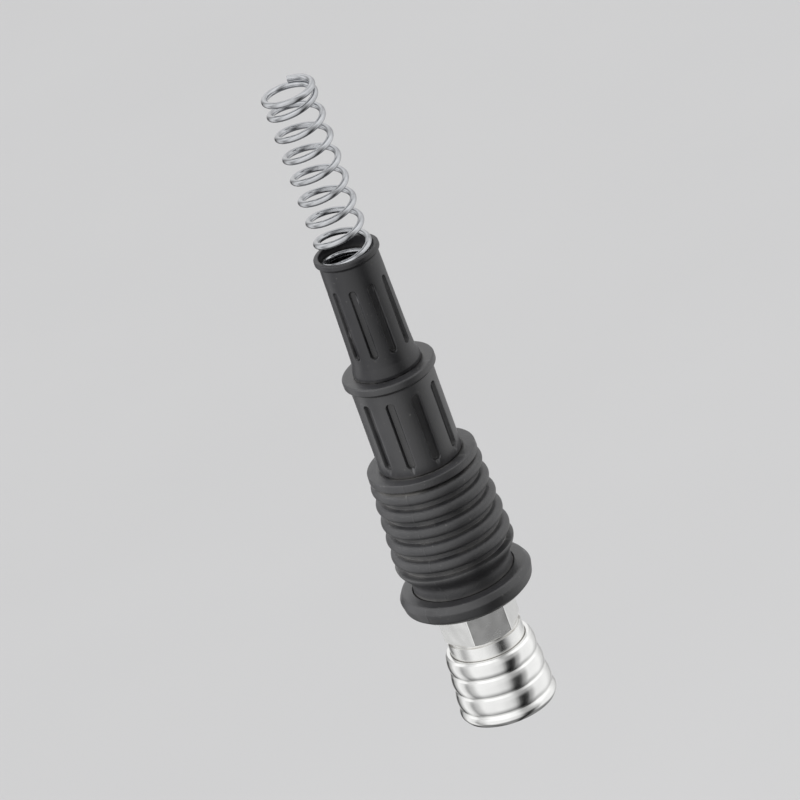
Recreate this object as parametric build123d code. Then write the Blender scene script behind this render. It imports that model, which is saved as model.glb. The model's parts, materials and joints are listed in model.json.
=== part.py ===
from build123d import *
import math
import os

# Quick disconnect coupler on a hose grip, in millimetres. The socket's mouth face is z = 0 and the
# hose leaves along +Z. Every turned piece is drawn as (radius, height) points and revolved about Z.

os.makedirs("parts", exist_ok=True)

FIT = 0.05              # radial gap between pieces that are assembled without play
RUN_GAP = 0.08          # radial running clearance of the sleeve
SHIM = 0.02             # gap left between faces that rest on each other
LOOSE = 0.1             # radial gap of a washer or flat ring
EDGE = 0.3              # small chamfer
CHAMFER = 0.5           # chamfer that leads a piece in
OVER = 5.0              # how far a cutting shape reaches past the piece

# Plug socket
PLUG_R = 6.0            # bore that the plug's collar seats in, behind the balls
MOUTH_R = 6.2           # slightly wider bore from the mouth to the balls
NOSE_R, NOSE_STOP_Z = 4.6, 19.4     # bore for the plug's nose, with the seal in its wall
COLLAR_SEAT_Z, COLLAR_STOP_Z = 8.6, 13.0
BODY_R = 8.0            # outside of the socket tube
BODY_END_Z = 22.0
THREAD_IN_R = 7.0       # end that screws into the rear body
SNAP_GROOVE_R, SNAP_GROOVE_Z0, SNAP_GROOVE_Z1 = 7.5, 0.62, 1.22
SNAP_OUT_R, SNAP_OPENING = 8.75, 2.4
SEAL_GROOVE_R, SEAL_Z, SEAL_GROOVE_WIDTH = 6.1, 15.2, 1.8
SEAL_WIRE_R = 0.8
STOP_WASHER_Z0, STOP_WASHER_Z1, STOP_WASHER_R = 1.24, 1.84, 10.35

# Locking balls and the sleeve's cam
BALLS = 6
BALL_R = 1.75
BALL_REST_R = 6.65      # ball centre's distance from the axis when locked
BALL_Z = 6.5
BALL_TRAVEL = 1.15
SLEEVE_TRAVEL = 3.6
CONE_GAP = 0.03         # gap of a piece that bears on a cone
CAM_SLOPE = BALL_TRAVEL / SLEEVE_TRAVEL

# Locking sleeve
SLEEVE_Z0, SLEEVE_Z1 = 0.2, 17.3
SLEEVE_FRONT_R, SLEEVE_REAR_R = 12.2, 11.0
STOP_POCKET_R, STOP_POCKET_Z = 10.5, 1.9
RELEASE_R = 9.9
LAND_R = BODY_R + RUN_GAP
CHAMBER_Z = 9.0
GUIDE_R = 9.3
GROOVES_Z = (2.95, 7.75, 12.65)
GROOVE_WIDTH, GROOVE_DEPTH = 0.9, 0.55
BAND_CROWN, BAND_STEPS = 0.22, 8
SLEEVE_WIRE, SLEEVE_COIL_R, SLEEVE_TURNS = 0.8, 8.69, 4.2
WASHER_Z0, WASHER_Z1 = 15.56, 16.16

# Hexagon and rear thread
GUIDE_Z0, HEX_Z0, HEX_Z1 = 16.2, 21.2, 32.0
HEX_FLATS, HEX_EDGE_R = 17.0, 0.35
HEX_CORNER_R, HEX_FACE_R, HEX_CHAMFER = 10.2, 8.9, 0.9
UNDERCUT = 0.5
REAR_THREAD_R, REAR_END_Z = 6.58, 43.0
CHAMBER_R = 5.0
BODY_SEAL_Z1 = 22.6

# Valve
SEAT_R, SEAT_Z0 = 3.8, 20.2
STEM_R, STEM_Z0, STEM_WEB = 1.7, 16.8, 1.2
HEAD_Z0, HEAD_Z1 = 22.8, 24.6
HEAD_NECK_R = 3.45
TAIL_R, TAIL_Z1 = 1.6, 38.3
SPRING_SEAT_Z0, SPRING_SEAT_Z1 = 36.2, 37.6
SEAT_HOLES, SEAT_HOLE_R, SEAT_HOLES_AT_R = 6, 0.8, 3.4
VALVE_WIRE, VALVE_COIL_R, VALVE_TURNS = 0.7, 3.1, 6.5
CIRCLIP_GROOVE_R, CIRCLIP_Z0, CIRCLIP_Z1 = 5.5, 37.62, 38.42
CIRCLIP_IN_R, CIRCLIP_OPENING = 4.1, 3.2

# Hose tail
TAIL_CUP_R, TAIL_CUP_Z0, TAIL_CUP_Z1 = 7.95, 32.1, 46.0
TAIL_SEAT_Z = 44.0
TAIL_STEM_R, TAIL_BORE_R, TAIL_END_Z = 3.15, 2.3, 91.0
TAIL_STEM_Z0, BARBS, BARB_Z0, BARB_PITCH, BARB_R = 50.0, 4, 66.0, 6.0, 3.65
BARB_FACE, BARB_LAND = 0.3, 1.0
KEY_FLAT = 7.1          # distance of the cup's two flats from the axis
KEY_Z0, KEY_Z1, KEY_WIDTH, KEY_PLAY = 33.0, 46.0, 9.0, 3.0

# Grip
RING_Z0, RING_Z1 = 31.0, 36.4
RING_R, RING_EDGE_R = 16.35, 1.1
RECESS_R = 10.0         # recess around the hexagon
CORE_R, CORE_BORE_R = 9.6, 8.0
HOSE_WAY_R = 5.4
BOOT_Z1 = 69.1
WAIST_R, WAIST_Z1 = 12.4, 38.6
SHOULDER_R, SHOULDER_Z1, SHOULDER_STEPS = 14.75, 43.4, 8
RIBS, RIBS_Z0, RIBS_Z1 = 5, 43.6, 66.3
RIB_FOOT_R, RIB_TOP_R = 15.0, 13.55
RIB_DEPTH, RIM_Z0 = 1.4, 66.9
RIB_SHAPE = ((0.0, 1.0), (0.1, 0.45), (0.25, 0.08), (0.45, 0.0), (0.65, 0.08), (0.82, 0.45), (0.88, 0.8),
             (0.92, 1.0))   # share of the pitch, share of the depth

# Slotted middle section of the core
MID_R = 10.25
LIP_R, LIP_HEIGHT, LIP_SLOPE = 11.4, 1.7, 1.0
MID_Z1 = 94.3
POCKET_R, POCKET_Z0 = 7.6, 78.0
SLOTS, SLOT_TURN = 10, 28.0
MID_SLOT_WIDTH, MID_SLOT_DEPTH, MID_SLOT_Z0, MID_SLOT_Z1 = 2.3, 1.05, 71.2, 89.2

# Neck and spring guard
NUT_Z0, NUT_R = 79.0, 7.55
FOOT_R, FOOT_Z1 = 8.4, 95.2
NECK_LOW_R, NECK_LOW_Z = 7.75, 98.5
NECK_HIGH_R, NECK_HIGH_Z = 7.3, 124.2
NECK_LIP_R, NECK_Z1 = 8.0, 125.8
NECK_BORE_R = 5.15
NECK_SLOT_WIDTH, NECK_SLOT_FLOOR_R, NECK_SLOT_Z0, NECK_SLOT_Z1 = 2.0, 6.7, 100.0, 118.4
GUARD_SEAT_Z, GUARD_Z1 = 119.0, 169.5
GUARD_R, GUARD_WIRE, GUARD_TURNS = 6.75, 1.6, 10.2
GUARD_WASHER = 0.59
COLLET_R, COLLET_Z1 = 5.1, 90.4
COLLET_SLITS, SLIT_WIDTH, SLIT_Z0 = 6, 0.9, 80.5
NUT_CONE_R, NUT_CONE_Z1, NUT_CONE_SLOPE = 6.5, 91.0, 0.075


def lathe(points):
    """A solid turned from (radius, height) points."""
    outline = Polyline(*[(r, 0, z) for r, z in points], close=True)
    return revolve(make_face(outline), Axis.Z, 360)


def ring(r_in, r_out, z0, z1):
    return lathe([(r_in, z0), (r_out, z0), (r_out, z1), (r_in, z1)])


def polar(radius, degrees, z=0.0):
    turn = math.radians(degrees)
    return Vector(radius * math.cos(turn), radius * math.sin(turn), z)


def between(a, b, share):
    return a + (b - a) * share


def coil(mean_r, wire_d, z0, z1, turns, closed=0.9, per_turn=14):
    """A compression spring with closed end turns, ground flat at z0 and z1."""
    lift = 1.08 * wire_d
    start, rise = z0 + 0.3 * wire_d, z1 - z0 - 0.6 * wire_d
    steps = int(turns * per_turn)

    def openness(t):
        edge = (min(t, turns - t) - closed) / 0.5
        return 0.5 - 0.5 * math.cos(math.pi * min(max(edge, 0.0), 1.0))

    share = [openness((i + 0.5) * turns / steps) for i in range(steps)]
    pitch = lift + (rise - lift * turns) / (sum(share) * turns / steps)
    z, points = start, [polar(mean_r, 0, start)]
    for i in range(steps):
        z += (lift + (pitch - lift) * share[i]) * turns / steps
        points.append(polar(mean_r, 360 * (i + 1) * turns / steps, z))
    path = Spline(*points)
    wire = sweep(Plane(path @ 0, z_dir=path % 0) * Circle(wire_d / 2), path=path, is_frenet=True)
    reach = 2 * mean_r + 4 * wire_d
    low = Pos(0, 0, z0 - wire_d) * Box(reach, reach, 2 * wire_d)
    high = Pos(0, 0, z1 + wire_d) * Box(reach, reach, 2 * wire_d)
    return wire - low - high


def slots(floor_r, width, z0, z1):
    """Round-ended axial slots, spaced evenly about Z, open outward from floor_r."""
    half, reach = width / 2, 10
    out, middle = floor_r + reach / 2, (z0 + z1) / 2
    bar = Pos(out, 0, middle) * Box(reach, width, z1 - z0 - width)
    for z in (z0 + half, z1 - half):
        bar += Pos(out, 0, z) * Rot(0, 90, 0) * Cylinder(half, reach)
    return [Rot(0, 0, SLOT_TURN + 360 * i / SLOTS) * bar for i in range(SLOTS)]


def front_body():
    """Socket tube: snap ring groove, ball pockets, collar seat, seal groove, valve seat, thread end."""
    seal_z0, seal_z1 = SEAL_Z - SEAL_GROOVE_WIDTH / 2, SEAL_Z + SEAL_GROOVE_WIDTH / 2
    body = lathe([
        (BODY_R - EDGE, 0), (BODY_R, EDGE), (BODY_R, SNAP_GROOVE_Z0), (SNAP_GROOVE_R, SNAP_GROOVE_Z0),
        (SNAP_GROOVE_R, SNAP_GROOVE_Z1), (BODY_R, SNAP_GROOVE_Z1), (BODY_R, GUIDE_Z0),
        (THREAD_IN_R, GUIDE_Z0), (THREAD_IN_R, BODY_END_Z), (SEAT_R, BODY_END_Z), (SEAT_R, SEAT_Z0),
        (NOSE_R, NOSE_STOP_Z), (NOSE_R, seal_z1), (SEAL_GROOVE_R, seal_z1), (SEAL_GROOVE_R, seal_z0),
        (NOSE_R, seal_z0), (NOSE_R, COLLAR_STOP_Z + CHAMFER), (NOSE_R + CHAMFER, COLLAR_STOP_Z),
        (PLUG_R, COLLAR_STOP_Z), (PLUG_R, COLLAR_SEAT_Z), (MOUTH_R, COLLAR_SEAT_Z), (MOUTH_R, 2 * EDGE),
        (MOUTH_R + 2 * EDGE, 0),
    ])
    hole = Pos(BALL_REST_R + OVER / 2, 0, BALL_Z) * Rot(0, 90, 0) * Cylinder(BALL_R + FIT, OVER)
    hole += Pos(BALL_REST_R, 0, BALL_Z) * Sphere(BALL_R + CONE_GAP)
    return body - [Rot(0, 0, 360 * i / BALLS) * hole for i in range(BALLS)]


def cam_r(z):
    """Radius of the sleeve's cam cone: the ball's surface plus the gap, square to the cone."""
    reach = (BALL_R + CONE_GAP) * math.hypot(1, CAM_SLOPE)
    return BALL_REST_R + reach - CAM_SLOPE * (z - BALL_Z)


def cam_z(r):
    return BALL_Z + (cam_r(BALL_Z) - r) / CAM_SLOPE


def sleeve_r(z):
    return between(SLEEVE_FRONT_R, SLEEVE_REAR_R, (z - SLEEVE_Z0) / (SLEEVE_Z1 - SLEEVE_Z0))


def locking_sleeve():
    """Crowned bands with V-grooves between them outside, stop pocket, cam and spring chamber inside."""
    half = GROOVE_WIDTH / 2
    outer = [(sleeve_r(SLEEVE_Z0) - CHAMFER, SLEEVE_Z0)]
    starts = [SLEEVE_Z0 + CHAMFER] + [z + half for z in GROOVES_Z]
    ends = [z - half for z in GROOVES_Z] + [SLEEVE_Z1 - CHAMFER]
    for z0, z1 in zip(starts, ends):
        for i in range(BAND_STEPS + 1):
            share = i / BAND_STEPS
            z = between(z0, z1, share)
            outer.append((sleeve_r(z) - BAND_CROWN * (2 * share - 1) ** 2, z))
        if z1 < GROOVES_Z[-1]:
            outer.append((sleeve_r(z1 + half) - GROOVE_DEPTH, z1 + half))
    outer.append((sleeve_r(SLEEVE_Z1) - BAND_CROWN - CHAMFER, SLEEVE_Z1))
    inner = [
        (GUIDE_R + RUN_GAP, SLEEVE_Z1), (GUIDE_R + RUN_GAP, CHAMBER_Z), (LAND_R, CHAMBER_Z),
        (LAND_R, cam_z(LAND_R)), (RELEASE_R, cam_z(RELEASE_R)), (RELEASE_R, STOP_POCKET_Z),
        (STOP_POCKET_R, STOP_POCKET_Z), (STOP_POCKET_R, SLEEVE_Z0),
    ]
    return lathe(outer + inner)


def snap_ring():
    """Open ring in the socket tube's front groove."""
    whole = ring(SNAP_GROOVE_R + SHIM, SNAP_OUT_R, SNAP_GROOVE_Z0 + SHIM, SNAP_GROOVE_Z1 - SHIM)
    return whole - Pos(BODY_R, 0, SNAP_GROOVE_Z0) * Box(OVER, SNAP_OPENING, OVER)


def ball(i):
    return Pos(polar(BALL_REST_R, 360 * i / BALLS, BALL_Z)) * Sphere(BALL_R)


def rear_body():
    """Guide collar, chamfered hexagon and rear thread, with the valve chamber through it."""
    prism = Pos(0, 0, HEX_Z0) * extrude(RegularPolygon(HEX_FLATS / 2, 6, major_radius=False),
                                        HEX_Z1 - HEX_Z0)
    prism = fillet(prism.edges().filter_by(Axis.Z), HEX_EDGE_R)
    limit = lathe([(0, HEX_Z0), (HEX_FACE_R, HEX_Z0), (HEX_CORNER_R, HEX_Z0 + HEX_CHAMFER),
                   (HEX_CORNER_R, HEX_Z1 - HEX_CHAMFER), (HEX_FACE_R, HEX_Z1), (0, HEX_Z1)])
    collar = lathe([(0, GUIDE_Z0), (GUIDE_R - EDGE, GUIDE_Z0), (GUIDE_R, GUIDE_Z0 + EDGE),
                    (GUIDE_R, HEX_Z0 - UNDERCUT), (GUIDE_R - UNDERCUT, HEX_Z0 - UNDERCUT),
                    (GUIDE_R - UNDERCUT, HEX_Z0), (0, HEX_Z0)])
    thread = lathe([(0, HEX_Z1), (REAR_THREAD_R, HEX_Z1), (REAR_THREAD_R, REAR_END_Z - EDGE),
                    (REAR_THREAD_R - EDGE, REAR_END_Z), (0, REAR_END_Z)])
    bore = lathe([
        (0, GUIDE_Z0 - OVER), (THREAD_IN_R, GUIDE_Z0 - OVER), (THREAD_IN_R, BODY_SEAL_Z1),
        (CHAMBER_R, BODY_SEAL_Z1), (CHAMBER_R, CIRCLIP_Z0), (CIRCLIP_GROOVE_R, CIRCLIP_Z0),
        (CIRCLIP_GROOVE_R, CIRCLIP_Z1), (CHAMBER_R, CIRCLIP_Z1), (CHAMBER_R, REAR_END_Z + OVER),
        (0, REAR_END_Z + OVER),
    ])
    return (prism & limit) + collar + thread - bore


def valve_poppet():
    """Cross-shaped stem, head with a groove for its seal, and the tail that the spring seat guides."""
    foot = BODY_END_Z + SHIM
    head = lathe([(0, foot), (HEAD_NECK_R, foot), (HEAD_NECK_R, HEAD_Z0), (NOSE_R, HEAD_Z0),
                  (NOSE_R, HEAD_Z1 - CHAMFER), (NOSE_R - CHAMFER, HEAD_Z1), (TAIL_R, HEAD_Z1),
                  (TAIL_R, TAIL_Z1 - EDGE), (TAIL_R - EDGE, TAIL_Z1), (0, TAIL_Z1)])
    stem = lathe([(0, STEM_Z0), (STEM_R - CHAMFER, STEM_Z0), (STEM_R, STEM_Z0 + CHAMFER), (STEM_R, foot),
                  (0, foot)])
    web_z0 = STEM_Z0 + CHAMFER
    reach = ring(STEM_R / 2, SEAT_R - LOOSE, web_z0, foot)
    for turn in (0, 90):
        bar = Box(2 * NOSE_R, STEM_WEB, foot - web_z0 + OVER)
        stem += reach & (Rot(0, 0, turn) * Pos(0, 0, (web_z0 + foot) / 2) * bar)
    return head + stem


def valve_spring_seat():
    seat = ring(TAIL_R + FIT, CHAMBER_R - FIT, SPRING_SEAT_Z0, SPRING_SEAT_Z1)
    middle = (SPRING_SEAT_Z0 + SPRING_SEAT_Z1) / 2
    holes = [Pos(polar(SEAT_HOLES_AT_R, 360 * i / SEAT_HOLES, middle)) * Cylinder(SEAT_HOLE_R, OVER)
             for i in range(SEAT_HOLES)]
    return seat - holes


def valve_circlip():
    """Open ring in the chamber's groove, behind the spring seat."""
    whole = ring(CIRCLIP_IN_R, CIRCLIP_GROOVE_R - 2 * SHIM, CIRCLIP_Z0 + SHIM, CIRCLIP_Z1 - SHIM)
    return whole - Pos(CHAMBER_R, 0, CIRCLIP_Z0) * Box(OVER, CIRCLIP_OPENING, OVER)


def hose_tail():
    """Female thread at the front, with two flats outside, and the barbed stem behind it."""
    points = [(TAIL_CUP_R - CHAMFER, TAIL_CUP_Z0), (TAIL_CUP_R, TAIL_CUP_Z0 + CHAMFER),
              (TAIL_CUP_R, TAIL_CUP_Z1), (TAIL_STEM_R, TAIL_STEM_Z0), (TAIL_STEM_R, BARB_Z0)]
    for i in range(BARBS):
        z = BARB_Z0 + BARB_PITCH * i
        points += [(BARB_R, z + BARB_FACE), (BARB_R, z + BARB_LAND),
                   (TAIL_STEM_R, z + BARB_PITCH - BARB_FACE)]
    points += [(TAIL_STEM_R - EDGE, TAIL_END_Z), (TAIL_BORE_R, TAIL_END_Z), (TAIL_BORE_R, TAIL_SEAT_Z),
               (REAR_THREAD_R + SHIM, TAIL_SEAT_Z), (REAR_THREAD_R + SHIM, TAIL_CUP_Z0)]
    body = lathe(points)
    length, middle = KEY_Z1 + KEY_PLAY - TAIL_CUP_Z0 + OVER, (KEY_Z1 + KEY_PLAY + TAIL_CUP_Z0 - OVER) / 2
    for side in (-1, 1):
        body -= Pos(side * (KEY_FLAT + OVER), 0, middle) * Box(2 * OVER, 2 * TAIL_CUP_R, length)
    return body


def handle_core():
    """Nylon tube: seat for the hose tail, hose way, collet pocket, slotted middle with a lip."""
    core = lathe([
        (CORE_R, TAIL_CUP_Z0), (CORE_R, BOOT_Z1), (MID_R - EDGE, BOOT_Z1), (MID_R, BOOT_Z1 + EDGE),
        (MID_R, MID_Z1 - LIP_HEIGHT - LIP_SLOPE), (LIP_R, MID_Z1 - LIP_HEIGHT), (LIP_R, MID_Z1 - EDGE),
        (LIP_R - EDGE, MID_Z1), (POCKET_R, MID_Z1), (POCKET_R, POCKET_Z0), (HOSE_WAY_R, POCKET_Z0),
        (HOSE_WAY_R, TAIL_STEM_Z0), (CORE_BORE_R, TAIL_CUP_Z1 + CHAMFER), (CORE_BORE_R, TAIL_CUP_Z0),
    ])
    wall = ring(POCKET_R, CORE_R, KEY_Z0, KEY_Z1)
    deep = CORE_R - KEY_FLAT
    for side in (-1, 1):
        at = side * (KEY_FLAT + FIT + deep)
        core += wall & (Pos(at, 0, (KEY_Z0 + KEY_Z1) / 2) * Box(2 * deep, KEY_WIDTH, KEY_Z1 - KEY_Z0))
    return core - slots(MID_R - MID_SLOT_DEPTH, MID_SLOT_WIDTH, MID_SLOT_Z0, MID_SLOT_Z1)


def bumper_ring():
    inner = CORE_R + SHIM
    body = lathe([
        (RECESS_R, RING_Z0), (RING_R, RING_Z0), (RING_R, RING_Z1), (inner, RING_Z1),
        (inner, TAIL_CUP_Z0), (RECESS_R, TAIL_CUP_Z0),
    ])
    rim = [e for e in body.edges().filter_by(GeomType.CIRCLE) if e.radius > RING_R - 0.1]
    return fillet(rim, RING_EDGE_R)


def rib_envelope(z):
    """Radius of the ribs' crests: largest at the bottom."""
    return between(RIB_FOOT_R, RIB_TOP_R, (z - RIBS_Z0) / (BOOT_Z1 - RIBS_Z0))


def grip_boot():
    """Rubber grip: short waist behind the ring, swelling shoulder, then ribs up to a flat rim."""
    outer = [(WAIST_R, RING_Z1)]
    for i in range(SHOULDER_STEPS + 1):
        share = i / SHOULDER_STEPS
        swell = (1 - math.cos(math.pi * share)) / 2
        outer.append((between(WAIST_R, SHOULDER_R, swell), between(WAIST_Z1, SHOULDER_Z1, share)))
    pitch = (RIBS_Z1 - RIBS_Z0) / RIBS
    for rib in range(RIBS):
        for share, drop in RIB_SHAPE:
            z = RIBS_Z0 + pitch * (rib + share)
            outer.append((rib_envelope(z) - RIB_DEPTH * drop, z))
    rim = rib_envelope(BOOT_Z1)
    outer += [(rim - RIB_DEPTH, RIBS_Z1), (rim - RIB_DEPTH, RIM_Z0 - EDGE), (rim, RIM_Z0),
              (rim, BOOT_Z1 - EDGE), (rim - EDGE, BOOT_Z1)]
    return lathe(outer + [(CORE_R, BOOT_Z1), (CORE_R, RING_Z1)])


def nut_cone_r(z):
    return NUT_CONE_R - NUT_CONE_SLOPE * (z - NUT_Z0)


def gland_nut():
    """Neck: cone that closes the collet, flared foot, slots, and a mouth that holds the spring."""
    mouth = GUARD_R + FIT
    neck = lathe([
        (NUT_R, NUT_Z0), (NUT_R, MID_Z1), (FOOT_R, MID_Z1), (FOOT_R, FOOT_Z1), (NECK_LOW_R, NECK_LOW_Z),
        (NECK_HIGH_R, NECK_HIGH_Z), (NECK_LIP_R, NECK_HIGH_Z + CHAMFER), (NECK_LIP_R, NECK_Z1 - EDGE),
        (NECK_LIP_R - EDGE, NECK_Z1), (mouth, NECK_Z1), (mouth, GUARD_SEAT_Z),
        (NECK_BORE_R, GUARD_SEAT_Z), (NECK_BORE_R, NUT_CONE_Z1 + CHAMFER),
        (nut_cone_r(NUT_CONE_Z1), NUT_CONE_Z1), (nut_cone_r(NUT_Z0), NUT_Z0),
    ])
    return neck - slots(NECK_SLOT_FLOOR_R, NECK_SLOT_WIDTH, NECK_SLOT_Z0, NECK_SLOT_Z1)


def clamp_collet():
    """Slit sleeve around the hose's end."""
    wide, narrow = nut_cone_r(NUT_Z0) - CONE_GAP, nut_cone_r(COLLET_Z1) - CONE_GAP
    sleeve = lathe([(COLLET_R, POCKET_Z0), (wide, POCKET_Z0), (wide, NUT_Z0), (narrow, COLLET_Z1),
                    (COLLET_R, COLLET_Z1)])
    length = COLLET_Z1 + OVER - SLIT_Z0
    slit = Pos(COLLET_R, 0, SLIT_Z0 + length / 2) * Box(OVER, SLIT_WIDTH, length)
    return sleeve - [Rot(0, 0, 360 * (i + 0.5) / COLLET_SLITS) * slit for i in range(COLLET_SLITS)]


nodes = {
    "front_body": front_body(),
    "locking_sleeve": locking_sleeve(),
    "sleeve_spring": coil(SLEEVE_COIL_R, SLEEVE_WIRE, CHAMBER_Z + SHIM, WASHER_Z0 - SHIM, SLEEVE_TURNS,
                          closed=0.8),
    "spring_washer": ring(BODY_R + LOOSE, GUIDE_R - LOOSE, WASHER_Z0, WASHER_Z1),
    "stop_washer": ring(BODY_R + FIT, STOP_WASHER_R, STOP_WASHER_Z0, STOP_WASHER_Z1),
    "snap_ring": snap_ring(),
    "plug_seal": Pos(0, 0, SEAL_Z) * Torus(SEAL_GROOVE_R - SEAL_WIRE_R - SHIM, SEAL_WIRE_R),
    "rear_body": rear_body(),
    "body_seal": ring(CHAMBER_R + LOOSE, THREAD_IN_R - LOOSE, BODY_END_Z, BODY_SEAL_Z1),
    "valve_poppet": valve_poppet(),
    "valve_seal": ring(HEAD_NECK_R + SHIM, NOSE_R - FIT, BODY_END_Z + SHIM, HEAD_Z0 - SHIM),
    "valve_spring": coil(VALVE_COIL_R, VALVE_WIRE, HEAD_Z1 + SHIM, SPRING_SEAT_Z0 - SHIM, VALVE_TURNS),
    "valve_spring_seat": valve_spring_seat(),
    "valve_circlip": valve_circlip(),
    "thread_seal": ring(CHAMBER_R + LOOSE, REAR_THREAD_R - LOOSE, REAR_END_Z, TAIL_SEAT_Z),
    "hose_tail": hose_tail(),
    "handle_core": handle_core(),
    "bumper_ring": bumper_ring(),
    "grip_boot": grip_boot(),
    "clamp_collet": clamp_collet(),
    "gland_nut": gland_nut(),
    "guard_washer": ring(NECK_BORE_R + LOOSE, GUARD_R - FIT, GUARD_SEAT_Z, GUARD_SEAT_Z + GUARD_WASHER),
    "spring_guard": coil(GUARD_R - GUARD_WIRE / 2, GUARD_WIRE, GUARD_SEAT_Z + GUARD_WASHER + SHIM, GUARD_Z1,
                         GUARD_TURNS),
}
for i in range(BALLS):
    nodes[f"ball_{i + 1}"] = ball(i)

for name, shape in nodes.items():
    export_step(shape, f"parts/{name}.step")
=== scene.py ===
import json
import math

import bpy
import numpy as np
from mathutils import Matrix, Vector


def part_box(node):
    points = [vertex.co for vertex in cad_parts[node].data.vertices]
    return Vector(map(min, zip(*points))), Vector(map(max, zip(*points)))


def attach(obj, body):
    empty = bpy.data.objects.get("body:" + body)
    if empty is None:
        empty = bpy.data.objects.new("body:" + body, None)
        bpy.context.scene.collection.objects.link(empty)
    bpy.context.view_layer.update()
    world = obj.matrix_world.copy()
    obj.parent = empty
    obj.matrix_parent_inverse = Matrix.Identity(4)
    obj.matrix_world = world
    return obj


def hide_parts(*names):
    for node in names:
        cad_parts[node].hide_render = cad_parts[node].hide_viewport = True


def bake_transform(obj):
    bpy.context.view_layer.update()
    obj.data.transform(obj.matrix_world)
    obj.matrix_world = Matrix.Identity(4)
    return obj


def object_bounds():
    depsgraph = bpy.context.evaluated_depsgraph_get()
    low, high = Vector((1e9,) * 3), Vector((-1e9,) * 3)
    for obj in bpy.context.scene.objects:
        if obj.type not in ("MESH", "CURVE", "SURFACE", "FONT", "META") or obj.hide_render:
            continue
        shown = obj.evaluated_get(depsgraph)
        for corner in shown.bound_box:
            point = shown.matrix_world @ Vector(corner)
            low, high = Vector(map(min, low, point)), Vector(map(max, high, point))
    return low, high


# Looks of a quick disconnect coupler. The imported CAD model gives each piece's place and outer size.
# The turned, moulded and wound pieces that show are built again here, with finer shapes of those sizes.
# The pieces' outlines and sizes are in mm, and the meshes and the stage are in metres.

MM = 0.001

# Meshes
SHARP_EDGE = math.radians(38)       # faces that meet at more than this are shaded apart
STRAIGHT = math.radians(89)         # half the angle of a corner too open to be rounded
ARC_ROOM = 0.48                     # share of a side that the arc at one end of it may take
SHORT_RUN = 0.4                     # share of a step too short to be a step of its own
ANGLES = 160                        # corners round a plain turned piece

# Coil springs, in wire diameters and turns
CLOSED_PITCH = 1.08                 # pitch of the closed end turns
END_RISE = 0.3                      # from a ground end to the middle of its wire
OPENING_TURNS = 0.5                 # turns over which the pitch opens

# Slots, mould seams and ribs
SLOT_COUNT = 10
SLOT_TURN = math.radians(28)
SLOT_WALL = 0.36                    # width of a slot's soft shoulder
SLOT_MARGIN = 0.15                  # reach of the close corners beside a slot
SLOT_END_MARGIN, SLOT_END_STEP = 0.3, 0.12
SEAM_HALF_WIDTH = 0.22
SEAM_MARGIN, SEAM_STEP = 0.5, 0.09  # reach and spacing of the close corners round a seam
RIB_COUNT = 5

# Stage
CAMERA_TURN = math.radians(-100)
CAMERA_RISE = math.radians(25)
CAMERA_ROLL = math.radians(-20)
CAMERA_DISTANCE = 2.0
CAMERA_CLIP = (0.01, 50)
FRAME_HEIGHT = 0.188
FLOOR_DROP = 1.6
FLOOR_SIZE = 30
WALL_COLOUR = (0.64, 0.64, 0.645)

# Brightness of the surround, by degrees round from the camera
PANELS = (
    (0, 0.84), (10, 0.68), (18, 0.36), (25, 0.07), (34, 0.02), (43, 0.06), (53, 0.4), (70, 0.98),
    (110, 1.05), (135, 0.75), (152, 0.5), (170, 0.72), (188, 0.8), (200, 0.5), (209, 0.08),
    (216, 0.05), (226, 0.5), (244, 1.05), (258, 0.9), (270, 0.38), (281, 0.6), (300, 1.05), (335, 1.0),
)


# ---------------------------------------------------------------- outlines

def eased(share):
    """0 to 1 with a soft start and end."""
    return 0.5 - 0.5 * np.cos(math.pi * share)


def rounded(points, steps=5):
    """Closed outline from (r, z, corner radius) points in mm, each corner turned to an arc."""
    outline = []
    for i, (r, z, radius) in enumerate(points):
        corner = Vector((r, z))
        to_last = Vector(points[i - 1][:2]) - corner
        to_next = Vector(points[(i + 1) % len(points)][:2]) - corner
        half = to_last.angle(to_next) / 2
        if radius <= 0 or half > STRAIGHT:
            outline.append(corner)
            continue
        room = ARC_ROOM * min(to_last.length, to_next.length)
        back = min(radius / math.tan(half), room)
        inward = (to_last.normalized() + to_next.normalized()).normalized()
        centre = corner + inward * back / math.cos(half)
        start = corner + to_last.normalized() * back - centre
        end = corner + to_next.normalized() * back - centre
        turn = start.angle_signed(end)
        for step in range(steps + 1):
            outline.append(centre + Matrix.Rotation(-turn * step / steps, 2) @ start)
    return outline


def refined(outline, step, zones=()):
    """The closed outline with long runs divided: to step, or finer inside zones of (z0, z1, step)."""
    points = []
    for i, p in enumerate(outline):
        q = outline[(i + 1) % len(outline)]
        run, at = (q - p).length, 0.0
        points.append(p)
        while True:
            z = (p + (q - p) * (at / run if run else 0)).y
            fine = min([s for z0, z1, s in zones if z0 <= z <= z1], default=step)
            at += fine
            if at > run - SHORT_RUN * fine:
                break
            points.append(p + (q - p) * (at / run))
    return points


def even_angles(count):
    return np.linspace(0, 2 * math.pi, count, endpoint=False)


def angles_with(centres, radius, half_width, step, count):
    """Even angles all round, with close ones across each feature of that half width at that radius."""
    spread = half_width / radius
    close = np.arange(-spread, spread + 1e-9, step / radius)
    extra = [c + a for c in centres for a in close]
    base = [a for a in even_angles(count)
            if all(abs((a - c + math.pi) % (2 * math.pi) - math.pi) > spread for c in centres)]
    return np.sort(np.mod(np.array(base + extra), 2 * math.pi))


# ---------------------------------------------------------------- reliefs

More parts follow.
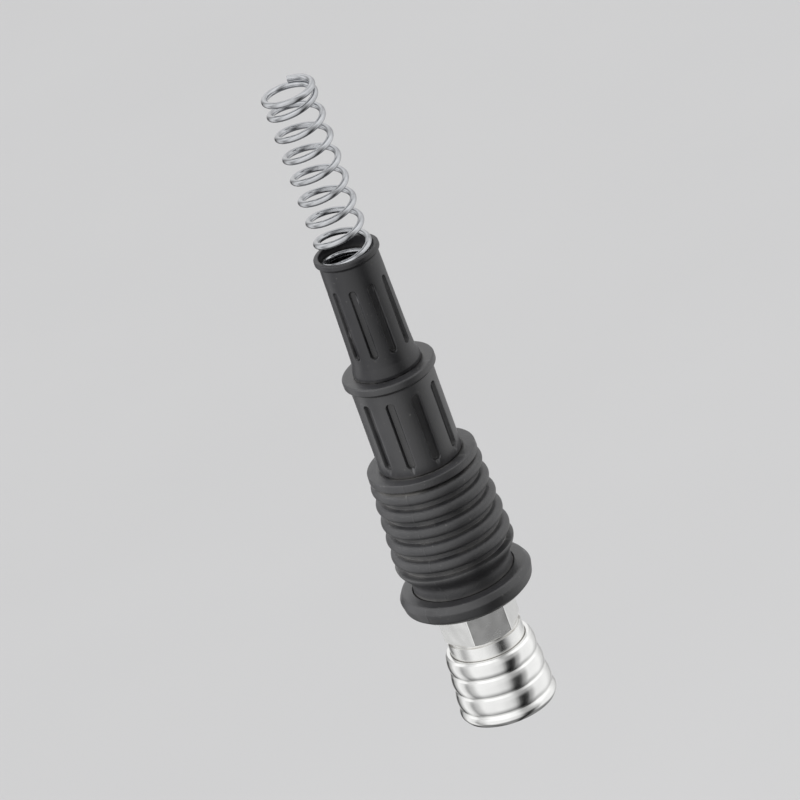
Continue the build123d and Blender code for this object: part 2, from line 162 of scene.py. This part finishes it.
def slot_relief(outer_r, floor_r, half_width, z0, z1):
    """Relief that sinks round-ended axial slots to floor_r, with a soft shoulder."""
    def relief(turn, radius, height):
        nearest = np.mod(turn - SLOT_TURN + math.pi / SLOT_COUNT, 2 * math.pi / SLOT_COUNT)
        across = (nearest - math.pi / SLOT_COUNT) * outer_r
        past = height - np.clip(height, z0 + half_width, z1 - half_width)
        inside = half_width - np.hypot(across, past)
        t = np.clip(inside / SLOT_WALL, 0, 1)
        return np.where(radius > floor_r, (floor_r - radius) * t * t * (3 - 2 * t), 0)
    return relief


def slot_angles():
    return [SLOT_TURN + 2 * math.pi * i / SLOT_COUNT for i in range(SLOT_COUNT)]


def slot_ends(z0, z1, half_width):
    """The zones of close corners at both round ends of a slot."""
    return [(z0 - SLOT_END_MARGIN, z0 + half_width + SLOT_END_MARGIN, SLOT_END_STEP),
            (z1 - half_width - SLOT_END_MARGIN, z1 + SLOT_END_MARGIN, SLOT_END_STEP)]


def seam_relief(seams, height, above_r):
    """Relief that raises the thin line where the halves of a mould met, outside above_r."""
    def relief(turn, radius, z):
        line = np.zeros_like(radius)
        for c in seams:
            off = np.abs(np.mod(turn - c + math.pi, 2 * math.pi) - math.pi) * radius
            line = np.maximum(line, np.clip(1 - off / SEAM_HALF_WIDTH, 0, 1))
        return np.where(radius > above_r, height * line, 0)
    return relief


# ---------------------------------------------------------------- meshes

def box_mm(node):
    """(outer radius, low z, high z) of a CAD node, in mm."""
    lo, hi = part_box(node)
    return max(hi[0], hi[1]) / MM, lo[2] / MM, hi[2] / MM


def mesh_piece(name, corners, faces, body, material):
    """A smooth-shaded mesh with a record slot's finish. It rides on the CAD body, if one is given."""
    mesh = bpy.data.meshes.new(name)
    mesh.from_pydata(corners, [], faces)
    mesh.update()
    piece = bpy.data.objects.new(name, mesh)
    bpy.context.scene.collection.objects.link(piece)
    mesh.shade_smooth()
    mesh.set_sharp_from_angle(angle=SHARP_EDGE)
    mesh.materials.append(material)
    if body:
        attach(piece, body)
    return piece


def turned(name, outline, body, material, angles=None, relief=None):
    """The closed outline swept round Z, each point moved out by relief(angle, r, z) in mm."""
    angles = even_angles(ANGLES) if angles is None else angles
    r = np.array([p.x for p in outline])
    z = np.array([p.y for p in outline])
    turn, radius = np.meshgrid(angles, r, indexing="ij")
    height = np.broadcast_to(z, radius.shape)
    if relief:
        radius = radius + relief(turn, radius, height)
    corners = np.stack([radius * np.cos(turn), radius * np.sin(turn), height], axis=-1).reshape(-1, 3) * MM
    around, along = len(angles), len(outline)
    area = sum(p.x * outline[(i + 1) % along].y - outline[(i + 1) % along].x * p.y
               for i, p in enumerate(outline))
    faces = []
    for a in range(around):
        b = (a + 1) % around
        for i in range(along):
            j = (i + 1) % along
            quad = (a * along + i, b * along + i, b * along + j, a * along + j)
            faces.append(quad if area > 0 else quad[::-1])
    return mesh_piece(name, corners.tolist(), faces, body, material)


def wound(name, mean_r, wire_d, z0, z1, turns, body, material, closed=0.9, per_turn=56, sides=16):
    """A coil spring with closed end turns, its wire flattened where it is ground at z0 and z1."""
    lift = CLOSED_PITCH * wire_d
    start, rise = z0 + END_RISE * wire_d, z1 - z0 - 2 * END_RISE * wire_d
    steps = int(turns * per_turn)
    t = (np.arange(steps) + 0.5) * turns / steps
    share = eased(np.clip((np.minimum(t, turns - t) - closed) / OPENING_TURNS, 0, 1))
    pitch = lift + (rise - lift * turns) / (share.sum() * turns / steps)
    climb = np.concatenate([[0], np.cumsum((lift + (pitch - lift) * share) * turns / steps)])
    angle = np.linspace(0, 2 * math.pi * turns, steps + 1)
    slope = np.gradient(climb, angle) / mean_r
    out = np.stack([np.cos(angle), np.sin(angle), np.zeros_like(angle)], axis=-1)
    along = np.stack([-np.sin(angle), np.cos(angle), slope], axis=-1)
    along /= np.linalg.norm(along, axis=1, keepdims=True)
    up = np.cross(out, along)
    up *= np.sign(up[:, 2:3])
    centre = out * mean_r + np.stack([0 * angle, 0 * angle, start + climb], axis=-1)
    around = even_angles(sides)
    rings = (centre[:, None, :] + wire_d / 2 * (np.cos(around)[None, :, None] * out[:, None, :]
                                                + np.sin(around)[None, :, None] * up[:, None, :]))
    rings[..., 2] = np.clip(rings[..., 2], z0, z1)
    corners = rings.reshape(-1, 3) * MM
    faces = []
    for i in range(steps):
        for k in range(sides):
            m = (k + 1) % sides
            faces.append((i * sides + k, i * sides + m, (i + 1) * sides + m, (i + 1) * sides + k))
    faces.append(tuple(range(sides))[::-1])
    faces.append(tuple(steps * sides + k for k in range(sides)))
    piece = mesh_piece(name, corners.tolist(), faces, body, material)
    length = piece.data.attributes.new("wire_length", "FLOAT", "POINT")
    length.data.foreach_set("value", np.repeat(angle * mean_r * MM, sides).astype(np.float32))
    side = piece.data.attributes.new("wire_side", "FLOAT", "POINT")
    side.data.foreach_set("value", np.tile(np.abs(around / math.pi - 1), steps + 1).astype(np.float32))
    return piece


# ---------------------------------------------------------------- nodes

class Nodes:
    """A node tree, with short calls for the nodes that the finishes and the surround share."""

    def __init__(self, tree):
        self.tree = tree

    def set(self, node, values):
        """Set or link a node's inputs, by name with _ for a space, or by number."""
        for key, value in values.items():
            socket = node.inputs[key.replace("_", " ") if isinstance(key, str) else key]
            if isinstance(value, bpy.types.NodeSocket):
                self.tree.links.new(value, socket)
            else:
                socket.default_value = value

    def add(self, kind, values=None, **settings):
        node = self.tree.nodes.new(kind)
        for key, value in settings.items():
            setattr(node, key, value)
        self.set(node, values or {})
        return node

    def maths(self, operation, *values):
        node = self.add("ShaderNodeMath", dict(enumerate(values)), operation=operation)
        return node.outputs[0]

    def remap(self, value, low, high, to_low=0.0, to_high=1.0, smooth=False):
        node = self.add("ShaderNodeMapRange", {"Value": value, "From Min": low, "From Max": high,
                                               "To Min": to_low, "To Max": to_high},
                        interpolation_type="SMOOTHSTEP" if smooth else "LINEAR")
        return node.outputs["Result"]


class Finish(Nodes):
    """One material. Its noise scales are per metre, and a remap's first two numbers are noise levels."""

    def __init__(self, name, **shader):
        self.material = bpy.data.materials.new(name)
        self.material.use_nodes = True
        super().__init__(self.material.node_tree)
        self.shader = self.tree.nodes["Principled BSDF"]
        self.set(self.shader, shader)
        self.place = self.add("ShaderNodeTexCoord").outputs["Object"]

    def scaled(self, vector, scale):
        node = self.add("ShaderNodeVectorMath", {0: vector, 1: scale}, operation="MULTIPLY")
        return node.outputs[0]

    def noise(self, vector, scale, detail=3.0, roughness=0.55):
        node = self.add("ShaderNodeTexNoise", {"Vector": vector, "Scale": scale, "Detail": detail,
                                               "Roughness": roughness})
        return node.outputs["Fac"]

    def mix(self, factor, a, b):
        """Colour a to colour b, by factor. The mix node's colour inputs are 6 and 7, its output 2."""
        a, b = (c if isinstance(c, bpy.types.NodeSocket) else (*c, 1.0) for c in (a, b))
        return self.add("ShaderNodeMix", {0: factor, 6: a, 7: b}, data_type="RGBA").outputs[2]

    def lathe_place(self):
        """(radius, height) of a point, so that a noise of it makes turning rings on any lathe face."""
        parts = self.add("ShaderNodeSeparateXYZ", {0: self.place})
        squares = self.maths("ADD", self.maths("POWER", parts.outputs["X"], 2.0),
                             self.maths("POWER", parts.outputs["Y"], 2.0))
        radius = self.maths("SQRT", squares)
        both = self.add("ShaderNodeCombineXYZ", {"X": radius, "Y": parts.outputs["Z"]})
        return both.outputs[0]

    def bump(self, height, distance, normal=None):
        values = {"Height": height, "Distance": distance}
        if normal is not None:
            values["Normal"] = normal
        return self.add("ShaderNodeBump", values).outputs["Normal"]

    def edges(self, low, high):
        """1 on convex edges, 0 on flats."""
        pointy = self.add("ShaderNodeNewGeometry").outputs["Pointiness"]
        return self.remap(pointy, low, high, smooth=True)

    def openness(self, reach):
        """1 in the open, falling to 0 down in a groove."""
        shade = self.add("ShaderNodeAmbientOcclusion", {"Distance": reach}, samples=6)
        return shade.outputs["AO"]


# ---------------------------------------------------------------- finishes

def turned_metal(name, colour, roughness, ring_depth, tarnish=(0.45, 0.42, 0.38), wave=0.0):
    """Machined and plated metal: turning rings, soft smudges, grime in its grooves, polishing waves."""
    ring_scale, smudge_scale, scratch_scale, wave_scale = 9000.0, 160.0, 900.0, 170.0
    grime, groove_reach, dulled = 0.5, 0.9 * MM, 0.93
    smooth_share, rough_share, scratch_roughness = 0.8, 1.45, 0.1
    f = Finish(name, Metallic=1.0)
    rings = f.noise(f.scaled(f.lathe_place(), (ring_scale, ring_scale, 1.0)), 1.0, detail=2.0)
    smudge = f.noise(f.place, smudge_scale, detail=4.0)
    scratch_place = f.scaled(f.place, (scratch_scale, scratch_scale, 10 * scratch_scale))
    scratch = f.noise(scratch_place, 1.0, detail=2.0)
    level = f.maths("ADD", f.remap(smudge, 0.35, 0.7, roughness * smooth_share, roughness * rough_share),
                    f.remap(scratch, 0.62, 0.8, 0.0, scratch_roughness))
    dirt = f.remap(f.openness(groove_reach), 0.3, 0.75, grime, 0.0, smooth=True)
    tone = f.mix(f.remap(smudge, 0.3, 0.75), colour, [c * dulled for c in colour])
    normal = f.bump(rings, ring_depth)
    if wave:
        normal = f.bump(f.noise(f.place, wave_scale, detail=1.0), wave, normal=normal)
    f.set(f.shader, {"Roughness": level, "Base Color": f.mix(dirt, tone, tarnish), "Normal": normal})
    return f.material


def drawn_wire(name, colour, roughness):
    """Spring wire: fine lines along its length and a few darker rub marks."""
    length_scale, side_scale, blotch_scale = 220.0, 26.0, 300.0
    line_depth, rubbed, smooth_share, rough_share = 0.006 * MM, 0.78, 0.75, 1.6
    f = Finish(name, Metallic=1.0)
    length = f.add("ShaderNodeAttribute", attribute_name="wire_length").outputs["Fac"]
    side = f.add("ShaderNodeAttribute", attribute_name="wire_side").outputs["Fac"]
    flow = f.add("ShaderNodeCombineXYZ", {"X": f.maths("MULTIPLY", length, length_scale),
                                          "Y": f.maths("MULTIPLY", side, side_scale)}).outputs[0]
    lines = f.noise(flow, 1.0, detail=3.0)
    blotch = f.noise(f.place, blotch_scale, detail=3.0)
    level = f.remap(lines, 0.3, 0.75, roughness * smooth_share, roughness * rough_share)
    tone = f.mix(f.remap(blotch, 0.45, 0.75), colour, [c * rubbed for c in colour])
    f.set(f.shader, {"Roughness": level, "Base Color": tone, "Normal": f.bump(lines, line_depth)})
    return f.material


def moulded(name, colour, edge_wear_and_highlight, roughness, grain, depth, dust, shine=0.5):
    """Moulded plastic or rubber: grain, patchy gloss, paler edges that are partly wear and partly a painted
    highlight, dust in its hollows, flecks.
    """
    cloud_scale, speck_scale = 140.0, 1500.0
    dust_colour, hollow_reach = (0.16, 0.155, 0.145), 1.6 * MM
    darker, paler, edge_polish, fleck_share = 0.78, 1.22, -0.08, 0.9
    glossier, duller = 0.06, 0.07
    f = Finish(name, Specular_IOR_Level=shine)
    fine = f.noise(f.place, grain, detail=4.0, roughness=0.62)
    cloud = f.noise(f.place, cloud_scale, detail=4.0)
    speck = f.noise(f.place, speck_scale, detail=2.0, roughness=0.4)
    edge = f.maths("MULTIPLY", f.edges(0.515, 0.6), f.remap(cloud, 0.35, 0.65, 0.25, 1.0))
    tone = f.mix(f.remap(cloud, 0.3, 0.7), [c * darker for c in colour], [c * paler for c in colour])
    # Convex edges are mixed towards the paler edge colour: partly edge wear, partly a painted highlight on
    # rounded edges and lips.
    tone = f.mix(edge, tone, edge_wear_and_highlight)
    hollow = f.remap(f.openness(hollow_reach), 0.35, 0.9, 1.0, 0.0, smooth=True)
    settled = f.maths("MULTIPLY", f.maths("MULTIPLY", hollow, f.remap(cloud, 0.4, 0.7)), dust)
    flecks = f.maths("MULTIPLY", f.remap(speck, 0.7, 0.78, smooth=True), dust * fleck_share)
    tone = f.mix(f.maths("MAXIMUM", settled, flecks), tone, dust_colour)
    level = f.maths("ADD", f.remap(cloud, 0.3, 0.7, roughness - glossier, roughness + duller),
                    f.maths("MULTIPLY", edge, edge_polish))
    f.set(f.shader, {"Base Color": tone, "Roughness": level, "Normal": f.bump(fine, depth)})
    return f.material


def make_materials():
    """The finishes, by record slot, with two more for the hexagon and the neck."""
    return {
        "nickel": turned_metal("nickel_plate", (0.86, 0.86, 0.85), roughness=0.13,
                               ring_depth=0.0016 * MM),
        "hexagon": turned_metal("nickel_plated_flats", (0.84, 0.84, 0.83), roughness=0.2,
                                ring_depth=0.0025 * MM, wave=0.12 * MM),
        "steel": turned_metal("turned_steel", (0.66, 0.66, 0.67), roughness=0.24,
                              ring_depth=0.004 * MM),
        "spring_steel": drawn_wire("spring_wire", (0.52, 0.53, 0.55), roughness=0.16),
        "brass": turned_metal("turned_brass", (0.80, 0.62, 0.30), roughness=0.22,
                              ring_depth=0.004 * MM, tarnish=(0.30, 0.20, 0.09)),
        # The second colour of each moulded finish is its paler edge colour: partly wear, partly a painted
        # highlight.
        "nylon": moulded("black_nylon", (0.012, 0.012, 0.013), edge_wear_and_highlight=(0.045, 0.045, 0.047),
                         roughness=0.36, grain=3200.0, depth=0.035 * MM, dust=0.25, shine=0.8),
        "neck": moulded("neck_nylon", (0.007, 0.007, 0.008), edge_wear_and_highlight=(0.04, 0.04, 0.042),
                        roughness=0.38, grain=3200.0, depth=0.035 * MM, dust=0.25, shine=0.6),
        "bumper_rubber": moulded("bumper_rubber", (0.012, 0.012, 0.013), edge_wear_and_highlight=(0.045, 0.045, 0.045),
                                 roughness=0.36, grain=2400.0, depth=0.06 * MM, dust=0.3, shine=0.85),
        "grip_rubber": moulded("grip_rubber", (0.013, 0.013, 0.014), edge_wear_and_highlight=(0.05, 0.05, 0.05),
                               roughness=0.4, grain=2600.0, depth=0.09 * MM, dust=0.4, shine=0.8),
        "seal_rubber": moulded("nitrile_seal", (0.018, 0.018, 0.018), edge_wear_and_highlight=(0.05, 0.05, 0.05),
                               roughness=0.38, grain=5000.0, depth=0.008 * MM, dust=0.1),
        "collet_plastic": moulded("acetal", (0.62, 0.60, 0.54), edge_wear_and_highlight=(0.7, 0.68, 0.62),
                                  roughness=0.42, grain=3000.0, depth=0.01 * MM, dust=0.2),
    }


# ---------------------------------------------------------------- pieces

def locking_sleeve(m):
    """Crowned bands between V-grooves; inside, the stop pocket, the balls' cam and the spring chamber."""
    outer, z0, z1 = box_mm("locking_sleeve")
    rear_r, crest_drop = 11.0, 0.09
    grooves, half, depth = (2.95, 7.75, 12.65), 0.5, 0.7
    crown, crown_steps, band_corner = 0.3, 8, 0.16
    mouth_in, mouth_up, rear_in, rear_down = 0.55, 0.45, 0.75, 0.5
    chamber_r, chamber_z = 9.38, 9.0
    cam_r, cam_z, cam_mouth_r, cam_mouth_z = 8.08, 7.87, 9.9, 2.18
    pocket_r, pocket_z = 10.5, 1.9
    front_r = outer + crest_drop

    def radius(z):
        return front_r + (rear_r - front_r) * (z - z0) / (z1 - z0)

    points = [(radius(z0) - mouth_in, z0, 0.15)]
    starts = [z0 + mouth_up] + [z + half for z in grooves]
    ends = [z - half for z in grooves] + [z1 - rear_down]
    for low, high in zip(starts, ends):
        for i in range(crown_steps + 1):
            share = i / crown_steps
            z = low + (high - low) * share
            corner = band_corner if i in (0, crown_steps) else 0.0
            points.append((radius(z) - crown * (2 * share - 1) ** 2, z, corner))
        if high != ends[-1]:
            points.append((radius(high + half) - depth, high + half, 0.12))
    points += [
        (radius(z1) - rear_in, z1, 0.1), (chamber_r, z1, 0.15), (chamber_r, chamber_z, 0.2),
        (cam_r, chamber_z, 0.1), (cam_r, cam_z, 0.1), (cam_mouth_r, cam_mouth_z, 0.1),
        (cam_mouth_r, pocket_z, 0.05), (pocket_r, pocket_z, 0.1), (pocket_r, z0, 0.2),
    ]
    piece = turned("locking_sleeve_turned", rounded(points, steps=4), "sleeve", m["nickel"],
                   even_angles(count=220))
    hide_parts("locking_sleeve")


def bumper_ring(m):
    """Round-edged flange, recessed over the guide collar and under the grip."""
    outer, z0, z1 = box_mm("bumper_ring")
    inner, recess_r, recess_z = 9.62, 10.0, 32.1
    foot_in, bevel_in, bevel_up, shoulder_down, top_in = 2.0, 0.5, 1.2, 1.7, 1.0
    seat_r, seat_floor_r, seat_depth = 12.75, 12.5, 0.4
    points = [
        (recess_r, z0, 0.3), (outer - foot_in, z0, 0.8), (outer - bevel_in, z0 + bevel_up, 1.2),
        (outer, z1 - shoulder_down, 0.6), (outer - top_in, z1, 1.0),
        (seat_r, z1, 0.25), (seat_floor_r, z1 - seat_depth, 0.1), (inner, z1 - seat_depth, 0.0),
        (inner, recess_z, 0.0), (recess_r, recess_z, 0.0),
    ]
    seams = (0.6, 0.6 + math.pi)
    piece = turned("bumper_ring_moulded", refined(rounded(points, steps=8), step=1.2), "body",
                   m["bumper_rubber"],
                   angles_with(seams, outer, SEAM_MARGIN, SEAM_STEP, count=200),
                   seam_relief(seams, height=0.07, above_r=outer - foot_in))
    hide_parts("bumper_ring")


def grip_boot(m):
    """Short waist, swelling shoulder, then rounded ribs up to a flat rim."""
    outer, z0, z1 = box_mm("grip_boot")
    inner, inner_edge = 9.6, 0.3
    waist_r, waist_z1, swell_z0, swell_height, swell_steps, shoulder_r = 12.4, 38.4, 38.8, 4.6, 10, 14.75
    ribs_z0, ribs_z1, top_r = 43.6, 66.3, 13.55
    groove, depth, rib_steps, fullness = 1.4, 1.9, 12, 0.75
    rim_foot, rim_z0, rim_low_in, rim_high_in, rim_mouth = 0.5, 0.7, 0.05, 0.15, 1.1

    def envelope(z):
        return outer - (outer - top_r) * (z - ribs_z0) / (z1 - ribs_z0)

    points = [(waist_r, z0, 0.0), (waist_r, waist_z1, 0.8)]
    for i in range(swell_steps + 1):
        share = i / swell_steps
        points.append((waist_r + (shoulder_r - waist_r) * eased(share), swell_z0 + swell_height * share, 0.0))
    pitch = (ribs_z1 - ribs_z0) / RIB_COUNT
    for rib in range(RIB_COUNT):
        low = ribs_z0 + rib * pitch
        points += [(envelope(low) - depth, low, 0.2), (envelope(low) - depth, low + groove, 0.2)]
        for i in range(1, rib_steps):
            share = i / rib_steps
            z = low + groove + (pitch - groove) * eased(share)
            points.append((envelope(z) - depth * (1 - math.sin(math.pi * share) ** fullness), z, 0.0))
    points += [
        (envelope(ribs_z1) - depth, ribs_z1, 0.2), (envelope(z1) - depth, ribs_z1 + rim_foot, 0.2),
        (envelope(z1) - rim_low_in, ribs_z1 + rim_z0, 0.4), (envelope(z1) - rim_high_in, z1, 0.3),
        (inner + rim_mouth, z1, 0.3), (inner, z1 - inner_edge, 0.0), (inner, z0, 0.0),
    ]
    seams = (0.9, 0.9 + math.pi)
    piece = turned("grip_boot_moulded", refined(rounded(points, steps=4), step=1.0), "body",
                   m["grip_rubber"],
                   angles_with(seams, outer, SEAM_MARGIN, SEAM_STEP, count=200),
                   seam_relief(seams, height=0.08, above_r=12.0))
    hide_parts("grip_boot")


def handle_core(m):
    """Nylon tube: hidden seat and collet pocket, slotted middle section, lip."""
    lip_r, z0, z1 = box_mm("handle_core")
    core_r, mid_r, mid_z0, mid_in, mid_up = 9.6, 10.25, 69.1, 0.2, 0.4
    lip_slope, lip_height = 2.6, 1.8
    mouth_r, mouth_depth, pocket_r, pocket_z = 8.45, 0.4, 7.6, 78.0
    hose_r, hose_z, seat_r, seat_z = 5.4, 50.0, 8.0, 46.6
    slot_floor_r, slot_z0, slot_z1, half = 9.25, 71.2, 89.2, 1.15
    points = [
        (core_r, z0, 0.2), (core_r, mid_z0, 0.0), (mid_r - mid_in, mid_z0, 0.0),
        (mid_r, mid_z0 + mid_up, 0.3), (mid_r, z1 - lip_slope, 0.5), (lip_r, z1 - lip_height, 0.35),
        (lip_r, z1, 0.5), (mouth_r, z1, 0.0), (pocket_r, z1 - mouth_depth, 0.0), (pocket_r, pocket_z, 0.2),
        (hose_r, pocket_z, 0.3), (hose_r, hose_z, 0.4), (seat_r, seat_z, 0.2), (seat_r, z0, 0.3),
    ]
    outline = refined(rounded(points, steps=5), step=0.9, zones=slot_ends(slot_z0, slot_z1, half))
    piece = turned("handle_core_moulded", outline, "body", m["nylon"],
                   angles_with(slot_angles(), mid_r, half + SLOT_MARGIN, step=0.12, count=176),
                   slot_relief(mid_r, slot_floor_r, half, slot_z0, slot_z1))
    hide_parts("handle_core")


def gland_nut(m):
    """Neck: closing cone inside the grip, flared foot, slots, lipped mouth around the spring."""
    _, z0, z1 = box_mm("gland_nut")
    thread_r, mid_z1, foot_r, foot_z0, foot_z1 = 7.55, 94.3, 8.4, 94.32, 95.2
    flare_in, flare_z = 0.1, 97.6
    low_r, low_z, high_r, high_z, lip_r, lip_z = 7.75, 99.0, 7.3, 123.9, 8.0, 124.6
    mouth_r, spring_z, hose_r, hose_z = 6.8, 119.0, 5.15, 92.0
    cone_r, cone_z, cone_mouth_r = 5.6, 91.0, 6.5
    slot_floor_r, slot_z0, slot_z1, half = 6.85, 100.0, 118.4, 1.0
    points = [
        (thread_r, z0, 0.2), (thread_r, foot_z0, 0.0), (foot_r, foot_z0, 0.15), (foot_r, foot_z1, 0.4),
        (low_r + flare_in, flare_z, 1.5), (low_r, low_z, 1.0), (high_r, high_z, 0.5),
        (lip_r, lip_z, 0.3), (lip_r, z1, 0.4), (mouth_r, z1, 0.2), (mouth_r, spring_z, 0.1),
        (hose_r, spring_z, 0.2), (hose_r, hose_z, 0.3), (cone_r, cone_z, 0.2), (cone_mouth_r, z0, 0.1),
    ]
    relief = slot_relief((low_r + high_r) / 2, slot_floor_r, half, slot_z0, slot_z1)

    def outside_only(turn, radius, height):
        return np.where(height > mid_z1, relief(turn, radius, height), 0)

    outline = refined(rounded(points, steps=5), step=0.9, zones=slot_ends(slot_z0, slot_z1, half))
    piece = turned("gland_nut_moulded", outline, "body", m["neck"],
                   angles_with(slot_angles(), low_r, half + SLOT_MARGIN, step=0.11, count=144),
                   outside_only)
    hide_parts("gland_nut")


def springs(m):
    """The anti-kink spring, and the sleeve's and the valve's springs, which stretch between two bodies."""
    wire = m["spring_steel"]
    _, z0, z1 = box_mm("spring_guard")
    guard = wound("spring_guard_wound", mean_r=5.95, wire_d=1.6, z0=z0, z1=z1, turns=10.2, body="body",
                  material=wire, sides=20)
    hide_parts("spring_guard")
    _, z0, z1 = box_mm("sleeve_spring")
    coil = wound("sleeve_spring_wound", mean_r=8.69, wire_d=0.8, z0=z0, z1=z1, turns=4.2, body=None,
                 material=wire, closed=0.8)
    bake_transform(coil)
    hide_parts("sleeve_spring")
    _, z0, z1 = box_mm("valve_spring")
    coil = wound("valve_spring_wound", mean_r=3.1, wire_d=0.7, z0=z0, z1=z1, turns=6.5, body=None,
                 material=wire, per_turn=32)
    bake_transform(coil)
    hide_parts("valve_spring")


def finish_cad_nodes(m):
    """The CAD nodes take the finish of their record slot, and rear_body the hexagon's."""
    for part in frame["record"]["subparts"]:
        node = frame["nodes"][part["node"]]
        node.data.materials.clear()
        node.data.materials.append(m["hexagon" if part["node"] == "rear_body" else part["material_slot"]])


# ---------------------------------------------------------------- stage

def toward(turn, rise):
    """The direction that is turned that far round Z and raised that far, in radians."""
    return Vector((math.cos(turn) * math.cos(rise), math.sin(turn) * math.cos(rise), math.sin(rise)))


def aimed(name, data, back, distance, roll=0.0):
    """A new camera or lamp at that distance back from the object's middle, aimed at it."""
    lo, hi = frame_box
    item = bpy.data.objects.new(name, data)
    bpy.context.scene.collection.objects.link(item)
    item.location = (Vector(lo) + Vector(hi)) / 2 + back * distance
    item.rotation_mode = "QUATERNION"
    rolled = Matrix.Rotation(roll, 4, "Z").to_quaternion()
    item.rotation_quaternion = (-back).to_track_quat("-Z", "Y") @ rolled
    return item


def camera():
    data = bpy.data.cameras.new("camera")
    data.lens = data.sensor_width * CAMERA_DISTANCE / FRAME_HEIGHT
    data.clip_start, data.clip_end = CAMERA_CLIP
    back = toward(CAMERA_TURN, CAMERA_RISE)
    bpy.context.scene.camera = aimed("camera", data, back, CAMERA_DISTANCE, CAMERA_ROLL)


def soft_light(name, turn, rise, distance, size, power):
    """A square soft box, turn degrees round from the camera and rise degrees up."""
    data = bpy.data.lights.new(name, "AREA")
    data.size, data.energy = size, power
    lamp = aimed(name, data, toward(CAMERA_TURN + math.radians(turn), math.radians(rise)), distance)
    lamp.visible_camera = False
    lamp.visible_glossy = False


def studio_world():
    """Surround that the metal mirrors: soft panels with dark gaps between them, and a brighter ceiling.

    The camera itself sees a plain wall.
    """
    peak = max(level for _, level in PANELS)
    world = bpy.data.worlds.new("studio")
    world.use_nodes = True
    bpy.context.scene.world = world
    n = Nodes(world.node_tree)

    place = n.add("ShaderNodeTexCoord").outputs["Generated"]
    parts = n.add("ShaderNodeSeparateXYZ", {0: place})
    up = parts.outputs["Z"]
    turn = n.maths("DIVIDE", n.maths("ARCTAN2", parts.outputs["Y"], parts.outputs["X"]), 2 * math.pi)
    share = n.maths("FRACT", n.maths("SUBTRACT", turn, CAMERA_TURN / (2 * math.pi) - 1))
    ramp = n.add("ShaderNodeValToRGB", {"Fac": share})
    stops = ramp.color_ramp.elements
    for degrees, level in PANELS + ((360, PANELS[0][1]),):
        stop = stops[0] if degrees == 0 else stops[-1] if degrees == 360 else stops.new(degrees / 360)
        stop.position = degrees / 360
        stop.color = (level / peak, level / peak, level / peak, 1.0)
    ramp.color_ramp.interpolation = "EASE"

    ground = n.remap(up, low=-0.85, high=-0.5, to_low=0.25 * peak, to_high=peak, smooth=True)
    haze = n.remap(up, low=-0.1, high=0.12, to_low=0.0, to_high=0.35, smooth=True)
    ceiling = n.remap(up, low=0.2, high=0.45, to_low=1.0, to_high=1.2, smooth=True)
    softened = n.add("ShaderNodeMix", {0: haze, 2: ramp.outputs["Color"], 3: 1.0})
    level = n.maths("MULTIPLY", n.maths("MULTIPLY", softened.outputs[0], ground), ceiling)
    surround = n.tree.nodes["Background"]
    n.set(surround, {"Color": (1.0, 1.0, 1.0, 1.0), "Strength": level})
    wall = n.add("ShaderNodeBackground", {"Color": (*WALL_COLOUR, 1.0), "Strength": 1.0})
    seen = n.add("ShaderNodeLightPath").outputs["Is Camera Ray"]
    both = n.add("ShaderNodeMixShader", {0: seen, 1: surround.outputs[0], 2: wall.outputs[0]})
    n.set(n.tree.nodes["World Output"], {"Surface": both.outputs[0]})


def floor():
    """Pale matt floor well below the hanging coupler."""
    bpy.ops.mesh.primitive_plane_add(size=FLOOR_SIZE, location=(0, 0, frame_box[0][2] - FLOOR_DROP))
    plane = bpy.context.object
    plane.name = "floor"
    f = Finish("floor_paint", Roughness=0.9)
    cloud = f.noise(f.place, scale=3.0)
    f.set(f.shader, {"Base Color": f.mix(cloud, (0.60, 0.60, 0.605), (0.63, 0.63, 0.635))})
    plane.data.materials.append(f.material)
    plane.visible_glossy = False


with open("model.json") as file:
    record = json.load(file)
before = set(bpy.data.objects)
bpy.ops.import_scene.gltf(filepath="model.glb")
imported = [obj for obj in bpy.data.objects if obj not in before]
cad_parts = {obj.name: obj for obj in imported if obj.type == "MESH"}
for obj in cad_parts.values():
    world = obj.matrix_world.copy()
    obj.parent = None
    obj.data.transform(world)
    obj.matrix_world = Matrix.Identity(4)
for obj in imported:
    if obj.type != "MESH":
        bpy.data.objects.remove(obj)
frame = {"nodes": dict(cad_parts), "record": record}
frame_box = [list(corner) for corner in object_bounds()]
materials = make_materials()
finish_cad_nodes(materials)
for build in (locking_sleeve, bumper_ring, grip_boot, handle_core, gland_nut, springs):
    build(materials)

studio_world()
floor()
camera()
soft_light("key_left", turn=-75, rise=28, distance=0.9, size=0.6, power=24.0)
soft_light("rim_right", turn=120, rise=15, distance=1.0, size=0.5, power=15.0)
soft_light("back_left", turn=-145, rise=40, distance=1.0, size=0.7, power=12.0)
bpy.context.scene.view_settings.view_transform = "Standard"
